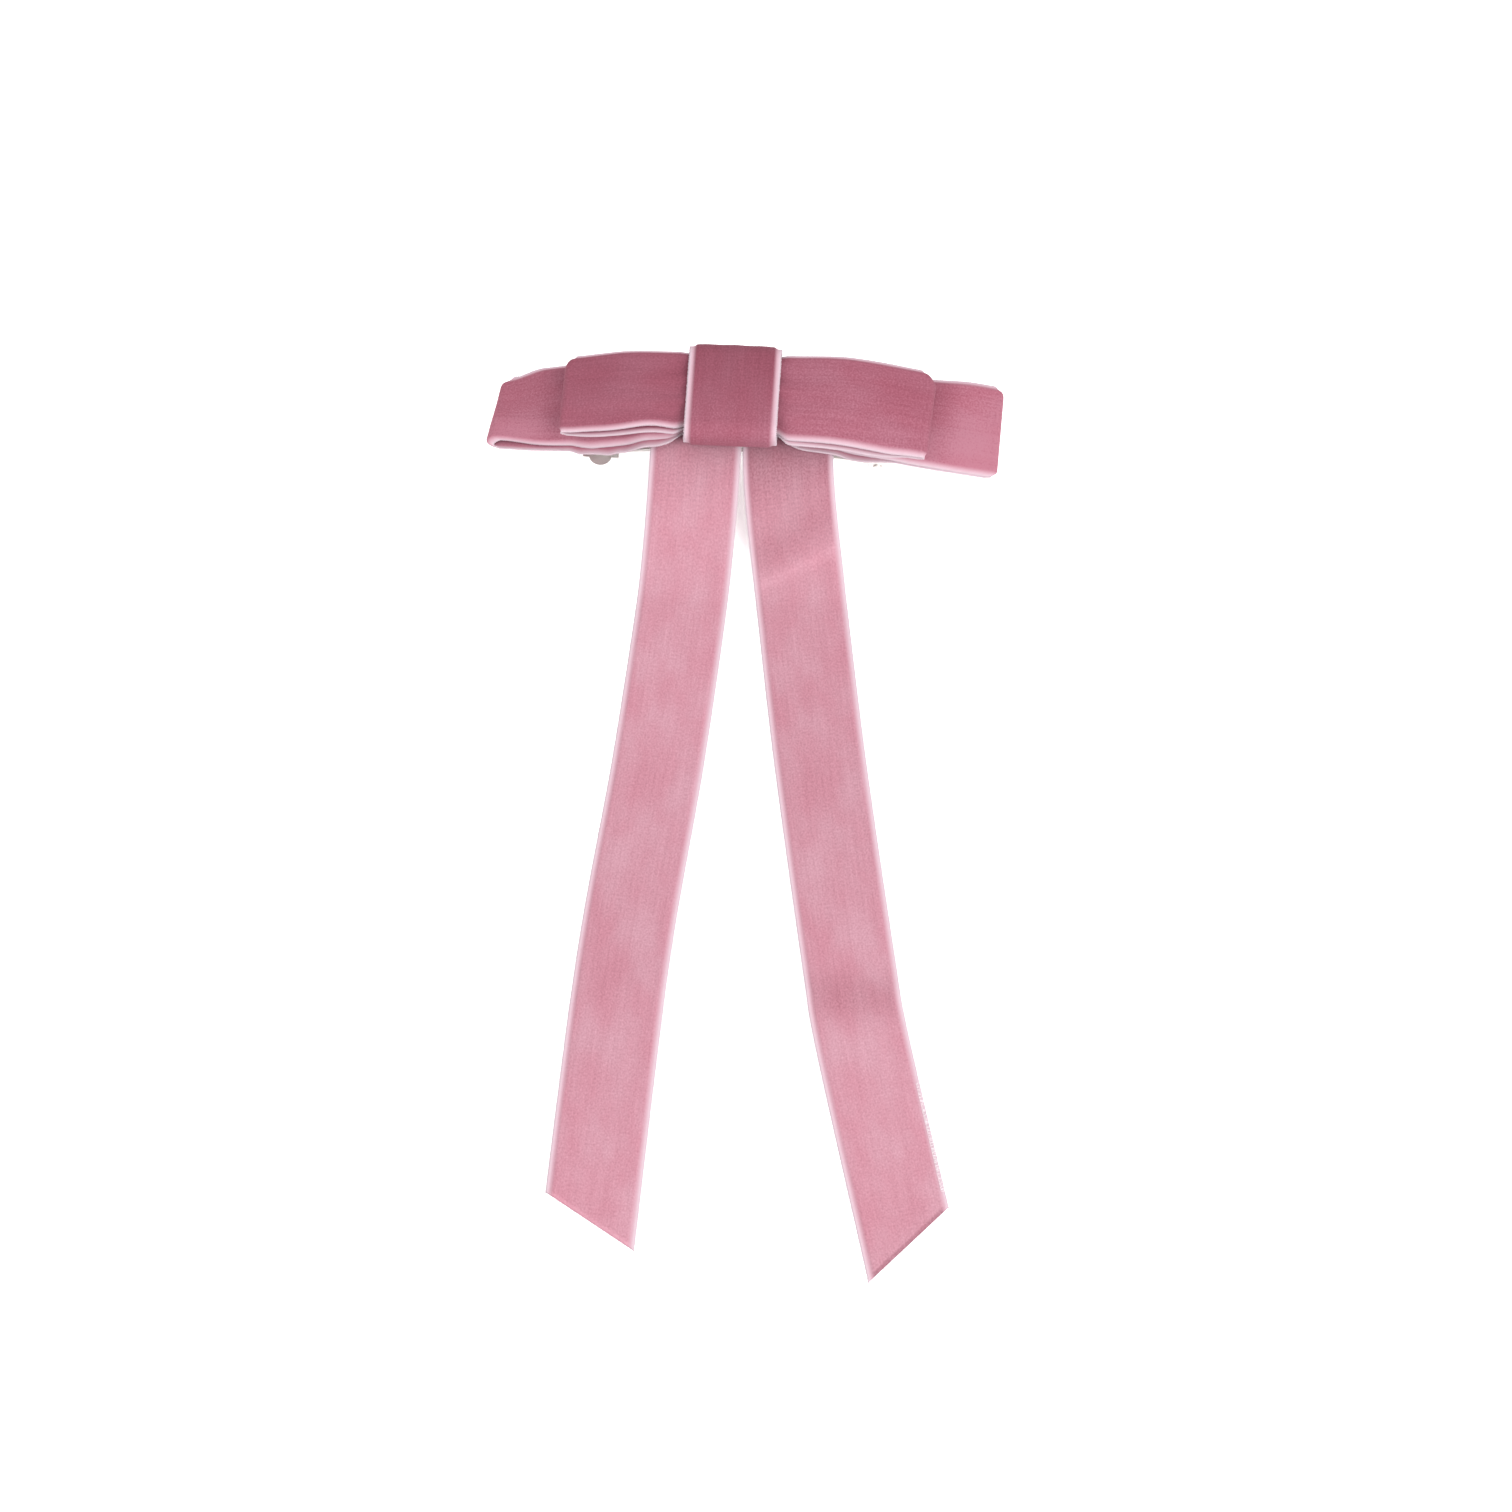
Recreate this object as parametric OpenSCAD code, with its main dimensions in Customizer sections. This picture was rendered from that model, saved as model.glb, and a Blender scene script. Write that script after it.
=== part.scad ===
// Velvet ribbon bow with two long tails on a sprung metal hair clip, lying on its back.
// The origin is the centre of the hair gap, between the closing arm and the tension bar.
// X runs along the clip from the latch to the hinge, the tails run towards -Y, and Z is up.
// Every height below is measured from the surface that the bow lies on.

/* [Ribbon] */
// Width of the velvet ribbon
ribbon_w = 22; // [20:0.5:24]
// Thickness of one ply of ribbon with its pile
ply = 0.9; // [0.7:0.05:1]

/* [Bow] */
// Reach of the long base loop to the left of the knot
base_reach_left = 61; // [56:1:70]
// Reach of the long base loop to the right of the knot
base_reach_right = 66; // [56:1:70]
// Reach of the short upper loop to the left of the knot
upper_reach_left = 43; // [38:1:50]
// Reach of the short upper loop to the right of the knot
upper_reach_right = 51; // [38:1:52]
// Thickness of a loop where it stands open
loop_open = 4.2; // [3.8:0.1:5]
// Thickness of a loop where the knot squeezes it
loop_pinched = 3.2; // [2.8:0.1:3.6]
// Width of a loop where the knot gathers it
gathered_w = 19.2; // [17:0.1:19.4]
// Radius that the loops droop along
droop_r = 80; // [70:1:120]
// Steepest slope of the drooping loops
droop_slope = 0.34; // [0.2:0.01:0.36]
// Knot centre from the clip centre, along the clip
bow_x = -1.6; // [-3:0.1:3]
// Knot centre from the clip centre, across the clip
bow_y = 4.7; // [2:0.1:6]

/* [Tails] */
// Distance from the knot at which the tails come down to the surface
landing = 48; // [40:1:60]
// Length of the slant of the left tail's cut end, along the tail
left_cut = 12; // [0:1:20]
// Length of the slant of the right tail's cut end, along the tail
right_cut = 14; // [0:1:20]

/* [Clip] */
// Radius of the base plate's underside
plate_r = 100; // [95:1:120]
// Height of the base plate's underside at its middle
plate_h = 14.8; // [14.4:0.1:16]
// Width of the base plate
plate_w = 8; // [7:0.1:10]
// Thickness of the base plate
plate_t = 0.6; // [0.5:0.05:0.8]
// Radius of the closing arm
arm_r = 150; // [140:1:180]
// Width of the closing arm
arm_w = 6.2; // [5.6:0.1:6.2]
// Thickness of the tension bar
bar_t = 0.4; // [0.3:0.05:0.5]
// Width of the tension bar
bar_w = 5; // [3:0.1:5.4]
// Hinge pin from the clip centre
hinge_x = 35; // [34:0.1:36]
// Latch from the clip centre
latch_x = -34.6; // [-35:0.1:-34]
// Radius of the hinge pin
pin_r = 0.6; // [0.5:0.05:0.7]

/* [Hidden] */
$fn = 96;

// Height of the hair gap's centre, which is the origin
grip_h = 8.8;
// Air left between plies that lie on each other
seam = 0.05;
// Running clearance of the arm and the bar on the pin
running = 0.05;

// The stack at the middle of the clip, from the plate upwards
glue_t = 0.3;
backing_t = 0.6;
backing_y = 1;
thread_t = 0.35;
backing_h = plate_h + plate_t + glue_t + 2 * seam;
tail_h = backing_h + backing_t + seam;
wrap_h = tail_h + ply + seam;
thread_h = wrap_h + ply + seam;
base_h = thread_h + thread_t + seam;
upper_h = base_h + loop_pinched + seam;
thread_top = upper_h + loop_pinched + seam + thread_t;
wrap_top = thread_top + seam + ply;

// Half lengths of the curved stretches, and the level ends of the plate
arc_half = 31;
bend_drop = 0.06;
plate_end_h = plate_h - plate_r + sqrt(plate_r * plate_r - arc_half * arc_half) - bend_drop;
plate_left = 38.5;
plate_right = 37;
corner_cut = 1.6;

// The hinge: lugs on the plate, fingers on the arm and one knuckle on the bar
lug_r = 1.9;
lug_t = 0.6;
pin_h = lug_r;
lug_y = plate_w / 2 - lug_t;
finger_in = 1.5;
knuckle_half = 1.2;
knuckle_r = 1.35;

// The closing arm and the window at its tip
arm_t = 0.6;
arm_mid_h = 5.75;
arm_hinge_end = 32;
arm_latch_end = 30.5;
window_h = 2.4;
window_in = [6.6, 7.4];
window_rail = 1.2;

// The tension bar
bar_gap = 2.2;
bar_r = plate_r - bar_gap - bar_t;
bar_tip = 25;
bar_head = 4;
bar_head_w = 11;
bar_bend = 29.8;

// The latch: two legs with hooks and finger ears
leg_w = 5;
leg_t = 0.5;
leg_y = 2.7;
leg_top = plate_end_h - 0.87;
hook_out = 1.1;
ear_h = 4.6;
ear_t = 0.6;
ear_reach = 8.1;
ear_r = 2.9;
rivet_r = 0.88;

// The bow: where the loops open and where the knot sits
flat_half = 5;
knot_half = ribbon_w / 2;
open_from = knot_half + 0.5;
open_to = 30;
knot_y = ribbon_w / 2 + 1.4;
knot_corner = 3.1;
STEPS = 40;

// Side view of the tails: they lie flat, then rise to the knot, where the bow gathers their outer edges
tuck_y = 6;
rise_y = -8;
gather_x = 16;

// Middles of the tails from the knot, chosen by hand
LEFT_ROUTE = [[-8.9, -17], [-10.6, -46.5], [-14.4, -90], [-20.2, -142], [-24.5, -207]];
RIGHT_ROUTE = [[14.5, -17], [18.8, -45], [25.2, -88], [34.1, -140], [38, -160], [49.9, -208.7]];

function smooth(t) = let (u = min(1, max(0, t))) u * u * (3 - 2 * u);

// Fall of the loops away from the knot: level, then an arc, then a straight slope
arc_run = droop_r * sin(atan(droop_slope));
arc_fall = droop_r - sqrt(droop_r * droop_r - arc_run * arc_run);
function fall(x) = let (a = max(0, abs(x) - flat_half))
    a < arc_run ? droop_r - sqrt(droop_r * droop_r - a * a) : arc_fall + droop_slope * (a - arc_run);

// Thickness of a loop at x
function open_at(x) =
    loop_pinched + (loop_open - loop_pinched) * smooth((abs(x) - open_from) / (open_to - open_from));

// The base loop's outer height at x carries the upper loop
function base_bottom(x) = base_h - fall(x);
function upper_bottom(x) = base_bottom(x) + open_at(x) + seam;

// Side view of a flattened loop, shrunk by inset; kind 0 is the base loop and 1 the upper one
function bottom(kind, x) = kind == 0 ? base_bottom(x) : upper_bottom(x);
function loop_outline(kind, left, right, inset) =
    let (r = loop_open / 2 - inset, x0 = -left + loop_open / 2, x1 = right - loop_open / 2)
    let (m0 = bottom(kind, x0) + loop_open / 2, m1 = bottom(kind, x1) + loop_open / 2)
    concat(
        [for (i = [0 : STEPS]) let (x = x0 + (x1 - x0) * i / STEPS) [x, bottom(kind, x) + inset]],
        [for (a = [-75 : 15 : 75]) [x1 + r * cos(a), m1 + r * sin(a)]],
        [for (i = [STEPS : -1 : 0]) let (x = x0 + (x1 - x0) * i / STEPS)
            [x, bottom(kind, x) + open_at(x) - inset]],
        [for (a = [105 : 15 : 255]) [x0 + r * cos(a), m0 + r * sin(a)]]
    );

// Everything is drawn by its height and then lowered to the origin
module lowered() {
    translate([0, 0, -grip_h]) children();
}

module on_bow() {
    lowered() translate([bow_x, bow_y, 0]) children();
}

// A side view in X and height, given a width in Y
module across(width) {
    rotate([90, 0, 0]) linear_extrude(height = width, center = true) children();
}

// A wall in X and height that stands between y0 and y0 + thick
module wall(y0, thick) {
    translate([0, y0 + thick, 0]) rotate([90, 0, 0]) linear_extrude(height = thick) children();
}

module along_y(x, h, r, length) {
    translate([x, 0, h]) rotate([90, 0, 0]) cylinder(r = r, h = length, center = true);
}

// A ring sector about the plate's own centre, cut off at each side
module arc_band(centre_h, r_in, r_out, x0, x1) {
    intersection() {
        translate([0, centre_h]) difference() {
            circle(r = r_out, $fn = 360);
            circle(r = r_in, $fn = 360);
        }
        translate([x0, 0]) square([x1 - x0, 60]);
    }
}

module rounded_box(half_w, low, high, r) {
    translate([-half_w + r, low]) square([2 * half_w - 2 * r, high - low]);
    translate([-half_w, low + r]) square([2 * half_w, high - low - 2 * r]);
    for (sx = [-1, 1], h = [low + r, high - r]) {
        translate([sx * (half_w - r), h]) circle(r = r);
    }
}

// Curved steel plate, level at both ends, with two lugs for the hinge pin
module base_plate() {
    color("silver") lowered() difference() {
        union() {
            across(plate_w) {
                arc_band(plate_h - plate_r, plate_r, plate_r + plate_t, -arc_half, arc_half);
                translate([-plate_left, plate_end_h]) square([plate_left - arc_half + 0.1, plate_t]);
                translate([arc_half - 0.1, plate_end_h])
                    square([plate_right - arc_half + 0.1, plate_t]);
            }
            for (y0 = [-plate_w / 2, lug_y]) {
                wall(y0, lug_t) union() {
                    translate([hinge_x, pin_h]) circle(r = lug_r);
                    polygon([[hinge_x - lug_r, pin_h], [hinge_x + lug_r, pin_h],
                        [plate_right, plate_end_h + plate_t / 2],
                        [arc_half + 1, plate_end_h + plate_t / 2]]);
                }
            }
        }
        along_y(hinge_x, pin_h, pin_r + 0.02, plate_w + 2);
        translate([latch_x, 0, plate_end_h - 1]) cylinder(r = rivet_r + 0.02, h = 3);
        for (side = [-1, 1]) {
            translate([-plate_left, side * plate_w / 2, plate_end_h - 1]) rotate(45)
                translate([-corner_cut, -corner_cut, 0]) cube([2 * corner_cut, 2 * corner_cut, 3]);
        }
    }
}

// Headed pin, fixed in the lugs
module hinge_pin() {
    color("gainsboro") lowered() {
        along_y(hinge_x, pin_h, pin_r, plate_w + 0.6);
        for (side = [-1, 1]) {
            translate([0, side * (plate_w / 2 + 0.25), 0])
                along_y(hinge_x, pin_h, 1.1, 0.4);
        }
    }
}

// Arm that closes over the hair, with fingers on the pin and a window for the latch
module closing_arm() {
    centre_h = arm_mid_h - arm_r;
    color("silver") lowered() difference() {
        union() {
            across(arm_w)
                arc_band(centre_h, arm_r - arm_t / 2, arm_r + arm_t / 2, -arm_latch_end, arm_hinge_end);
            for (y0 = [-arm_w / 2, finger_in]) {
                wall(y0, arm_w / 2 - finger_in) union() {
                    translate([arm_hinge_end - 0.6, pin_h - 0.1])
                        square([hinge_x - arm_hinge_end, arm_t + 0.2]);
                    translate([hinge_x, pin_h]) circle(r = knuckle_r);
                }
            }
            translate([latch_x, 0, window_h]) linear_extrude(height = arm_t) difference() {
                square([window_in[0] + 2 * window_rail, window_in[1] + 2 * window_rail], center = true);
                square(window_in, center = true);
            }
        }
        along_y(hinge_x, pin_h, pin_r + running, plate_w);
    }
}

// Sprung bar that presses the hair against the arm, with a wide head at its free end
module tension_bar() {
    centre_h = plate_h - plate_r;
    link = [hinge_x - 0.7 - bar_bend, pin_h + 0.9 - (centre_h + sqrt(bar_r * bar_r - bar_bend * bar_bend))];
    color("lightgray") lowered() difference() {
        union() {
            intersection() {
                across(bar_head_w) arc_band(centre_h, bar_r, bar_r + bar_t, -bar_tip, bar_bend + 0.3);
                linear_extrude(height = 30) union() {
                    translate([-bar_tip, -bar_w / 2]) square([bar_tip + bar_bend - 2, bar_w]);
                    translate([-bar_tip, -bar_head_w / 2]) square([bar_head, bar_head_w]);
                    translate([0, -knuckle_half]) square([bar_bend + 1, 2 * knuckle_half]);
                }
            }
            across(2 * knuckle_half) union() {
                translate([bar_bend, pin_h + 0.9 - link[1]]) rotate(atan2(link[1], link[0]))
                    square([norm(link), bar_t]);
                translate([hinge_x, pin_h]) circle(r = knuckle_r);
            }
        }
        along_y(hinge_x, pin_h, pin_r + running, plate_w);
    }
}

// Flat top of the latch, riveted under the plate
module latch_bridge() {
    color("silver") lowered() difference() {
        translate([latch_x - leg_w / 2, -leg_y - leg_t, plate_end_h - seam - leg_t])
            cube([leg_w, 2 * (leg_y + leg_t), leg_t]);
        translate([latch_x, 0, 0]) cylinder(r = rivet_r + 0.02, h = 20);
    }
}

module latch_rivet() {
    head = 0.45;
    low = plate_end_h - 2 * seam - leg_t - head;
    high = plate_end_h + plate_t + seam;
    color("gainsboro") lowered() translate([latch_x, 0, 0]) {
        translate([0, 0, low]) cylinder(r = rivet_r, h = high + head - low);
        translate([0, 0, low]) cylinder(r = 1.5, h = head);
        translate([0, 0, high]) cylinder(r = 1.5, h = head);
    }
}

// One sprung leg of the latch: a hook under the arm's window and an ear for a finger
module latch_tab(side) {
    color("silver") lowered() {
        translate([latch_x - leg_w / 2, 0, 0]) rotate([90, 0, 90]) linear_extrude(height = leg_w)
            polygon([
                [side * leg_y, leg_top],
                [side * (leg_y + leg_t), leg_top],
                [side * (leg_y + leg_t), window_h - 0.35],
                [side * (leg_y + leg_t + hook_out), window_h - 0.35],
                [side * (leg_y + leg_t + hook_out), window_h - 0.7],
                [side * (leg_y + 0.3), 0.1],
                [side * leg_y, 0.1]
            ]);
        translate([latch_x, 0, ear_h]) linear_extrude(height = ear_t) union() {
            translate([0, side * (ear_reach - ear_r)]) circle(r = ear_r);
            translate([-ear_r, side > 0 ? leg_y + 0.1 : -(ear_reach - ear_r)])
                square([2 * ear_r, ear_reach - ear_r - leg_y - 0.1]);
        }
    }
}

// Layer of glue between the plate and the backing
module adhesive() {
    color("ivory") lowered() across(plate_w - 2)
        arc_band(plate_h - plate_r, plate_r + plate_t + seam, plate_r + plate_t + seam + glue_t, -26, 26);
}

// Narrow strip of ribbon along the clip, under the tails, a little behind its middle
module backing_strip() {
    inner_r = plate_r + plate_t + glue_t + 2 * seam;
    color("rosybrown") lowered() translate([0, backing_y, 0]) across(plate_w + 2)
        arc_band(plate_h - plate_r, inner_r, inner_r + backing_t, -arc_half + 1, arc_half - 1);
}

// Side view of a tail in Y and height
function tail_height(y) = tail_h * smooth((y + landing) / (rise_y + landing));
module tail_side() {
    rise = [for (i = [0 : 24]) -landing + (rise_y + landing) * i / 24];
    polygon(concat(
        [[-260, 0]],
        [for (y = rise) [y, tail_height(y)]],
        [[tuck_y, tail_h], [tuck_y, tail_h + ply]],
        [for (i = [24 : -1 : 0]) [rise[i], tail_height(rise[i]) + ply]],
        [[-260, ply]]
    ));
}

// A smooth curve through a tail's route: place at t, counted in points, and its heading
function catmull(a, b, c, d, u) =
    (2 * b + (c - a) * u + (2 * a - 5 * b + 4 * c - d) * u * u + (3 * b - a - 3 * c + d) * u * u * u) / 2;
function place(route, t) = let (last = len(route) - 1, i = min(last - 1, floor(t)))
    catmull(route[max(0, i - 1)], route[i], route[i + 1], route[min(last, i + 2)], t - i);
function heading(route, t) = let (d = place(route, t + 0.01) - place(route, max(0, t - 0.01))) d / norm(d);
// The route's middle moved to one side by off and onward by along
function beside(route, t, off, along) = let (h = heading(route, t))
    place(route, t) + off * [-h[1], h[0]] + along * h;

// Plan of a tail: a ribbon about its route, gathered where the bow covers it, and cut at a slant
module tail_plan(route, side, cut) {
    half = side * ribbon_w / 2;
    last = len(route) - 1;
    times = [for (i = [0 : 4 * last - 1]) i / 4];
    divide = route[0][0] - half + side * 0.3;
    polygon(concat(
        [[divide, tuck_y], [divide, route[0][1] + 3]],
        [for (t = times) beside(route, t, -half, 0)],
        [beside(route, last - 0.01, -half, cut / 2), beside(route, last - 0.01, half, -cut / 2)],
        [for (i = [4 * last - 2 : -1 : 0]) beside(route, times[i], half, 0)],
        [[side * gather_x, route[0][1] + 5], [side * gather_x, tuck_y]]
    ));
}

module tail(route, side, cut) {
    color("palevioletred") on_bow() intersection() {
        rotate([90, 0, 90]) linear_extrude(height = 160, center = true) tail_side();
        linear_extrude(height = 30) tail_plan(route, side, cut);
    }
}

// Plan of a loop: full width, gathered at the knot
module loop_plan(left, right) {
    half = ribbon_w / 2;
    waist = gathered_w / 2;
    polygon([
        [-left - 1, -half], [-knot_half - 5, -half], [-knot_half - 0.3, -waist],
        [knot_half + 0.3, -waist], [knot_half + 5, -half], [right + 1, -half],
        [right + 1, half], [knot_half + 5, half], [knot_half + 0.3, waist],
        [-knot_half - 0.3, waist], [-knot_half - 5, half], [-left - 1, half]
    ]);
}

module loop(kind, left, right) {
    on_bow() intersection() {
        across(ribbon_w) difference() {
            polygon(loop_outline(kind, left, right, 0));
            polygon(loop_outline(kind, left, right, ply));
        }
        linear_extrude(height = 40) loop_plan(left, right);
    }
}

module base_loop() {
    color("palevioletred") loop(0, base_reach_left, base_reach_right);
}

module upper_loop() {
    color("palevioletred") loop(1, upper_reach_left, upper_reach_right);
}

// Band about the loops, given its outside half depth, heights, corner and thickness
module band(half_y, low, high, r, thick, width) {
    rotate([90, 0, 90]) linear_extrude(height = width, center = true) difference() {
        rounded_box(half_y, low, high, r);
        rounded_box(half_y - thick, low + thick, high - thick, r - thick);
    }
}

// Thread that gathers the loops before the knot covers it
module thread_binding() {
    color("indianred") on_bow()
        band(knot_y - ply - seam, thread_h, thread_top, knot_corner - ply, thread_t, 5);
}

module knot_wrap() {
    color("mediumvioletred") on_bow() band(knot_y, wrap_h, wrap_top, knot_corner, ply, ribbon_w);
}

base_plate();
hinge_pin();
closing_arm();
tension_bar();
latch_bridge();
latch_rivet();
latch_tab(-1);  // latch_tab_front
latch_tab(1);  // latch_tab_rear
adhesive();
backing_strip();
tail(LEFT_ROUTE, -1, left_cut);  // tail_left
tail(RIGHT_ROUTE, 1, right_cut);  // tail_right
base_loop();
upper_loop();
thread_binding();
knot_wrap();
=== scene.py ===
"""A velvet ribbon bow with two long tails, on a sprung metal hair clip that lies on its back."""
import math

import bpy
import numpy as np
from bpy.props import FloatProperty, FloatVectorProperty, IntProperty, PointerProperty
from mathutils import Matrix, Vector


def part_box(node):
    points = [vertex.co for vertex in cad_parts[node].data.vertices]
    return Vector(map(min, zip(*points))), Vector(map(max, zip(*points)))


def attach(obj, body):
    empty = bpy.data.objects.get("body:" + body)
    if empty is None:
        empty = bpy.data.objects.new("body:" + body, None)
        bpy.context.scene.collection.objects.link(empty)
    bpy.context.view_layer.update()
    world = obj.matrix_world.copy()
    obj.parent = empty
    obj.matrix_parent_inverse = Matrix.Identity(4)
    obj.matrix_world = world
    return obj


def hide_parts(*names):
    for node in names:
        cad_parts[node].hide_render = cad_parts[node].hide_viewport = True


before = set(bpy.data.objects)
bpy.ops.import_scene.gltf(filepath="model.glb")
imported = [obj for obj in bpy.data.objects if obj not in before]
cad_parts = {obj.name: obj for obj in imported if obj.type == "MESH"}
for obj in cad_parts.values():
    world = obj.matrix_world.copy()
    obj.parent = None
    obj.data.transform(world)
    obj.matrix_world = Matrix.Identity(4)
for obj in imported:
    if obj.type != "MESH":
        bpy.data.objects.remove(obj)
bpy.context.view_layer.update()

bl_info = {
    "name": "Velvet Bow Barrette",
    "version": (1, 0, 0),
    "blender": (4, 5, 0),
    "location": "View3D > Sidebar > Barrette",
    "description": "Builds a velvet ribbon bow with two tails around a sprung hair clip",
    "category": "Object",
}

MM = 0.001
BODY = "bow"

# Places that the frame gives: the knot's middle, and the surface that the bow lies on
KNOT_LOW, KNOT_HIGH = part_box("knot_wrap")
BACKING_LOW, BACKING_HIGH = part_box("backing_strip")
GLUE_LOW, GLUE_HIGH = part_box("adhesive")
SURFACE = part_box("tail_left")[0].z
BOW = Vector(((KNOT_LOW.x + KNOT_HIGH.x) / 2, (KNOT_LOW.y + KNOT_HIGH.y) / 2, SURFACE))

# The loops droop from the knot: level, then an arc, then a straight slope
LEVEL_HALF = 5 * MM
DROOP_RADIUS = 80 * MM
DROOP_SLOPE = 0.34
ARC_RUN = DROOP_RADIUS * math.sin(math.atan(DROOP_SLOPE))
ARC_FALL = DROOP_RADIUS - math.sqrt(DROOP_RADIUS ** 2 - ARC_RUN ** 2)

# A loop's thickness under the knot and where it stands open
PINCHED = 3.2 * MM
OPEN = 4.2 * MM
OPEN_FROM = 11.5 * MM
OPEN_TO = 30 * MM
SEAM = 0.05 * MM

# Cloth: a ply's thickness with its pile, half the loops' ribbon, and the widths of the tails and the knot
PLY = 0.9 * MM
HALF_W = 11 * MM
TAIL_W = 22.5 * MM
KNOT_W = 22.8 * MM

# Heights above the surface: the base loop's underside and the tails' top, both at the knot
BASE_H = 18.75 * MM
TAIL_H = 16.45 * MM

# The tails leave their height at RISE_Y and lie on the surface from LANDING on
LANDING = 48 * MM
RISE_Y = -8 * MM

# Rows of points along a loop's ply, round one of its folds, and along a tail
PLY_ROWS = 150
FOLD_ROWS = 15
TAIL_ROWS = 340

# The curve that the clip's plate, glue and backing ribbon follow
CLIP_RADIUS = 100 * MM

# Middles of the tails from the knot, in millimetres, as the frame's tails lie
LEFT_ROUTE = [(-8.9, 6), (-8.9, -17), (-10.6, -46.5), (-14.4, -90), (-20.2, -142), (-24.6, -208)]
RIGHT_ROUTE = [(14.2, 6), (14.5, -17), (18.8, -45), (25.2, -88), (34.1, -140), (38, -160), (50.9, -210.4)]
LEFT_CUT = 12 * MM
RIGHT_CUT = 14 * MM

EDGE_LINES = []


def linear(red, green, blue):
    """A colour given as it looks on a screen, from 0 to 255, in the renderer's linear values."""
    values = [value / 255 for value in (red, green, blue)]
    return tuple(v / 12.92 if v <= 0.04045 else ((v + 0.055) / 1.055) ** 2.4 for v in values)


def size_setting(name, description, default, least, most):
    """A length that a maker would change, in millimetres."""
    return FloatProperty(name=name, description=description, unit="LENGTH",
                         default=default * MM, min=least * MM, max=most * MM)


def colour_setting(name, description, red, green, blue):
    """A colour that a maker would change, as it looks on a screen, from 0 to 255."""
    return FloatVectorProperty(name=name, description=description, subtype="COLOR",
                               default=linear(red, green, blue), min=0, max=1)


class BarretteSizes(bpy.types.PropertyGroup):
    """Sizes that a maker would change."""

    selvedge: size_setting("Selvedge width", "Flat woven edge on each side of the pile", 1.5, 0.8, 2.5)
    selvedge_t: size_setting("Selvedge thickness", "Thickness of the ground cloth without pile",
                             0.38, 0.2, 0.5)
    wave: size_setting("Tail wave", "Height of the tails' gentle waves", 0.5, 0, 1.5)
    gather: size_setting("Gather depth", "Depth of the small folds that run into the knot", 0.3, 0, 0.6)
    weft_pitch: size_setting("Weft pitch", "Distance between weft turns along a selvedge", 0.55, 0.3, 1.5)
    thread_d: size_setting("Thread diameter", "Diameter of the sewing thread under the knot",
                           0.32, 0.2, 0.34)
    thread_turns: IntProperty(
        name="Thread turns", description="Turns of thread that gather the loops",
        default=14, min=4, max=15)
    fibre_length: size_setting("Fibre length", "Longest fibre that frays from a cut or worn edge",
                               1.3, 0.3, 2.5)


class BarretteColours(bpy.types.PropertyGroup):
    """Colours of the cloth, the thread, the glue and the stage."""

    # The tails' velvet is the bow's velvet painted lighter: painted light, where their pile catches the
    # light another way
    velvet: colour_setting("Velvet", "Pile of the bow, brushed down", 116, 64, 77)
    velvet_light: colour_setting("Light velvet", "Pile of the tails, brushed up", 149, 105, 116)
    selvedge: colour_setting("Selvedge", "Pale woven edge", 161, 128, 138)
    rim: colour_setting("Rim", "Outermost weft turns of the selvedge", 169, 150, 158)
    woven_back: colour_setting("Woven back", "Wrong side of the ribbon", 198, 168, 179)
    cut: colour_setting("Cut edge", "Cut and sealed end of the ribbon", 110, 62, 74)
    bleached: colour_setting("Bleached fibre", "Fibre that stands out of the worn selvedge",
                             225, 216, 220)
    thread: colour_setting("Thread", "Sewing thread", 138, 76, 90)
    glue: colour_setting("Glue", "Hardened glue", 236, 226, 200)
    nickel: colour_setting("Nickel", "Plated steel of the clip", 217, 214, 211)
    floor: colour_setting("Floor", "Plain pale floor", 246, 246, 246)


def sizes():
    return bpy.context.scene.barrette_sizes


def colours():
    return bpy.context.scene.barrette_colours


# ---- shaping -------------------------------------------------------------------------------


def smooth(t):
    u = np.clip(t, 0, 1)
    return u * u * (3 - 2 * u)


def swell(t):
    """A soft rise and fall about zero."""
    return np.exp(-np.square(t))


def ramp(value, start, run):
    """A smooth rise from 0 to 1 that starts at a place and takes a run, both in millimetres."""
    return smooth((value - start * MM) / (run * MM))


def hump(value, middle, reach):
    """A soft rise and fall about a middle, in millimetres."""
    return swell((value - middle * MM) / (reach * MM))


def fall(x):
    """How far the loops have dropped at x from the knot."""
    a = np.maximum(0, np.abs(x) - LEVEL_HALF)
    arc = DROOP_RADIUS - np.sqrt(DROOP_RADIUS ** 2 - np.minimum(a, ARC_RUN) ** 2)
    return np.where(a < ARC_RUN, arc, ARC_FALL + DROOP_SLOPE * (a - ARC_RUN))


def open_at(x):
    return PINCHED + (OPEN - PINCHED) * smooth((np.abs(x) - OPEN_FROM) / (OPEN_TO - OPEN_FROM))


def base_bottom(x):
    return BASE_H - fall(x)


def upper_bottom(x):
    return base_bottom(x) + open_at(x) + SEAM


def on_bow(x, y, h):
    """Points from the knot's middle, by their height above the surface, in the frame."""
    x, y, h = np.broadcast_arrays(x, y, h)
    return np.stack([BOW.x + x, BOW.y + y, BOW.z + h], axis=-1)


def columns(width, count):
    """Places across a ribbon, closer together at its two edges."""
    edge = np.array([0, 0.3, 0.62, 0.86, 0.98, 1.1, 1.26, 1.5]) * sizes().selvedge
    inner = np.linspace(edge[-1], width - edge[-1], count)[1:-1]
    return np.concatenate([edge, inner, width - edge[::-1]]) - width / 2


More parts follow.
